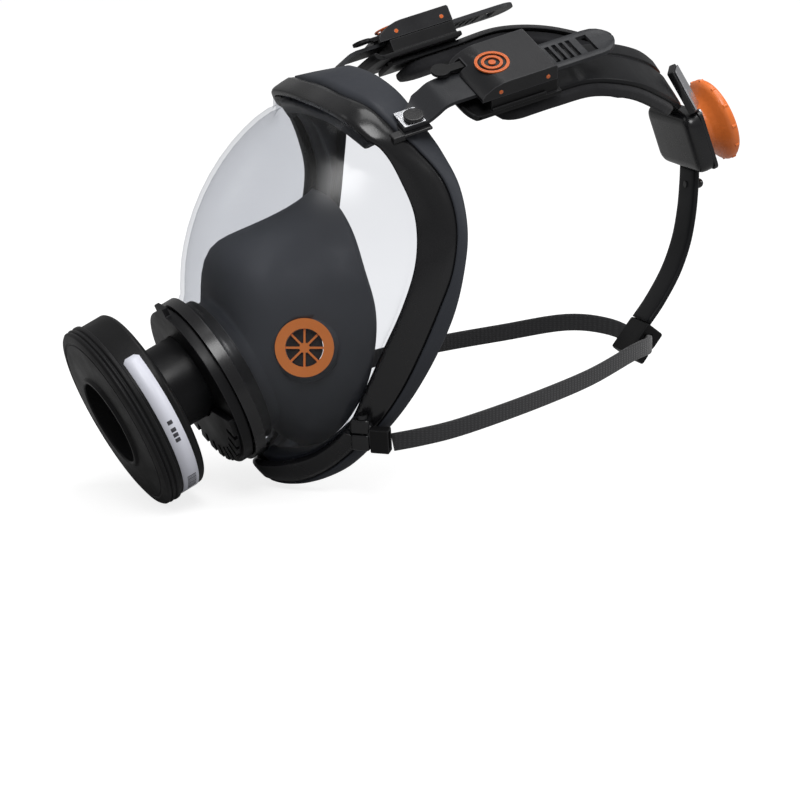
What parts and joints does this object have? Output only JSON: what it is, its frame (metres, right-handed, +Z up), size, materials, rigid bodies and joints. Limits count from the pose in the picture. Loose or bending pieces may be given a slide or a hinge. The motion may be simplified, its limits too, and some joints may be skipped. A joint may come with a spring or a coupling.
{
  "type": "full face respirator",
  "caption": "Full face respirator with a clear visor, half mask, screw-in round filter and a ratchet head harness with a rear size knob.",
  "frame": {"origin": "the middle of the wearer's head, midway between the ears", "axes": "+Z up, the mask faces -Y, the wearer's left is +X"},
  "size_m": [0.1734, 0.3771, 0.2404],
  "materials": {
    "clear_visor": "clear moulded polycarbonate with a faint blue-grey tint",
    "gloss_black": "moulded black plastic with a soft shine",
    "matte_black": "fine-grained black moulding",
    "seal_rubber": "matt slate-grey rubber",
    "valve_rubber": "thin black rubber",
    "orange_plastic": "glossy orange moulding",
    "steel": "plain zinc-plated steel",
    "bright_plate": "bright smooth plate",
    "label_film": "plain pale label film",
    "filter_fibre": "pleated filter fibre",
    "elastic_web": "flat black elastic"
  },
  "bodies": {
    "facepiece": {"visor": "clear_visor", "frame_upper": "gloss_black", "frame_lower": "gloss_black", "frame_screws": "steel", "face_seal": "seal_rubber", "half_mask": "seal_rubber", "valve_seat_left": "orange_plastic", "valve_seat_right": "orange_plastic", "front_housing": "gloss_black", "clamp_ring": "gloss_black", "clamp_screw": "steel", "housing_gasket": "valve_rubber", "socket": "gloss_black", "socket_gasket": "valve_rubber", "exhale_seat": "gloss_black", "vent_cover": "gloss_black", "upper_strap_left": "seal_rubber", "upper_strap_right": "seal_rubber", "strap_pegs": "gloss_black", "lug_plates": "bright_plate", "lower_clips": "matte_black", "lower_strap": "elastic_web"},
    "cheek_flap_left": {"cheek_flap_left": "valve_rubber"},
    "cheek_flap_right": {"cheek_flap_right": "valve_rubber"},
    "inhale_valve": {"inhale_disc": "valve_rubber"},
    "exhale_valve": {"exhale_disc": "valve_rubber"},
    "filter_ring": {"filter_washer": "valve_rubber"},
    "filter": {"filter_body": "matte_black", "filter_lid": "matte_black", "filter_media": "filter_fibre", "filter_label": "label_film"},
    "harness": {"crown_frame": "seal_rubber", "crown_pad_left": "seal_rubber", "crown_pad_right": "seal_rubber", "buckle_base_left": "matte_black", "buckle_base_right": "matte_black", "buckle_cover_left": "matte_black", "buckle_cover_right": "matte_black", "buckle_badge_left": "orange_plastic", "buckle_badge_right": "orange_plastic", "buckle_pins": "orange_plastic", "rear_housing": "gloss_black", "housing_cover": "gloss_black", "cover_screws": "steel", "guide_blocks": "gloss_black", "guide_plates": "bright_plate", "wave_washer": "steel", "nape_band": "seal_rubber", "nape_stud": "gloss_black", "nape_clip": "matte_black"},
    "lever_left": {"release_lever_left": "matte_black"},
    "lever_right": {"release_lever_right": "matte_black"},
    "rack_left": {"rack_left": "steel"},
    "rack_right": {"rack_right": "steel"},
    "size_knob": {"pinion": "steel", "knob": "orange_plastic", "knob_screw": "steel"}
  },
  "joints": [
    {"name": "harness_slide", "type": "slide", "parent": "facepiece", "child": "harness", "axis": [0, 0.9744, 0.225], "range_m": [-0.012, 0.012], "deforming": ["lower_strap"]},
    {"name": "lever_left_press", "type": "hinge", "parent": "harness", "child": "lever_left", "pos_m": [0.05998, -0.03885, 0.12699], "axis": [0.9135, 0.0915, -0.3963], "range_deg": [0, 4], "stiffness_Nm_per_rad": 0.2, "springref_deg": -1.15},
    {"name": "lever_right_press", "type": "hinge", "parent": "harness", "child": "lever_right", "pos_m": [-0.05998, -0.03885, 0.12699], "axis": [0.9135, -0.0915, 0.3963], "range_deg": [0, 4], "stiffness_Nm_per_rad": 0.2, "springref_deg": -1.15},
    {"name": "knob_turn", "type": "hinge", "parent": "harness", "child": "size_knob", "pos_m": [0, 0.113, 0.076], "axis": [0, 0.9397, 0.342], "range_deg": [-60, 60]},
    {"name": "rack_left_slide", "type": "slide", "parent": "harness", "child": "rack_left", "axis": [1, 0, 0], "range_m": [-0.0082, 0.0082]},
    {"name": "rack_right_slide", "type": "slide", "parent": "harness", "child": "rack_right", "axis": [1, 0, 0], "range_m": [-0.0082, 0.0082]},
    {"name": "filter_feed", "type": "slide", "parent": "facepiece", "child": "filter_ring", "axis": [0, -0.9063, -0.4226], "range_m": [0, 0.0092]},
    {"name": "filter_turn", "type": "hinge", "parent": "filter_ring", "child": "filter", "pos_m": [0, -0.21959, -0.04916], "axis": [0, -0.9063, -0.4226], "range_deg": [0, 900]},
    {"name": "inhale_lift", "type": "slide", "parent": "facepiece", "child": "inhale_valve", "axis": [0, 0.9063, 0.4226], "range_m": [0, 0.0013], "stiffness_N_per_m": 60, "springref_m": -0.001},
    {"name": "exhale_lift", "type": "slide", "parent": "facepiece", "child": "exhale_valve", "axis": [0, -0.9063, -0.4226], "range_m": [0, 0.0012], "stiffness_N_per_m": 60, "springref_m": -0.001},
    {"name": "cheek_lift_left", "type": "slide", "parent": "facepiece", "child": "cheek_flap_left", "axis": [-0.8754, 0.4082, -0.2588], "range_m": [0, 0.0012], "stiffness_N_per_m": 60, "springref_m": -0.001},
    {"name": "cheek_lift_right", "type": "slide", "parent": "facepiece", "child": "cheek_flap_right", "axis": [0.8754, 0.4082, -0.2588], "range_m": [0, 0.0012], "stiffness_N_per_m": 60, "springref_m": -0.001}
  ],
  "couplings": [
    {"joint": "rack_left_slide", "follows": "knob_turn", "m_per_rad": -0.0075},
    {"joint": "rack_right_slide", "follows": "knob_turn", "m_per_rad": 0.0075},
    {"joint": "filter_feed", "follows": "filter_turn", "m_per_rad": 0.00057773}
  ]
}
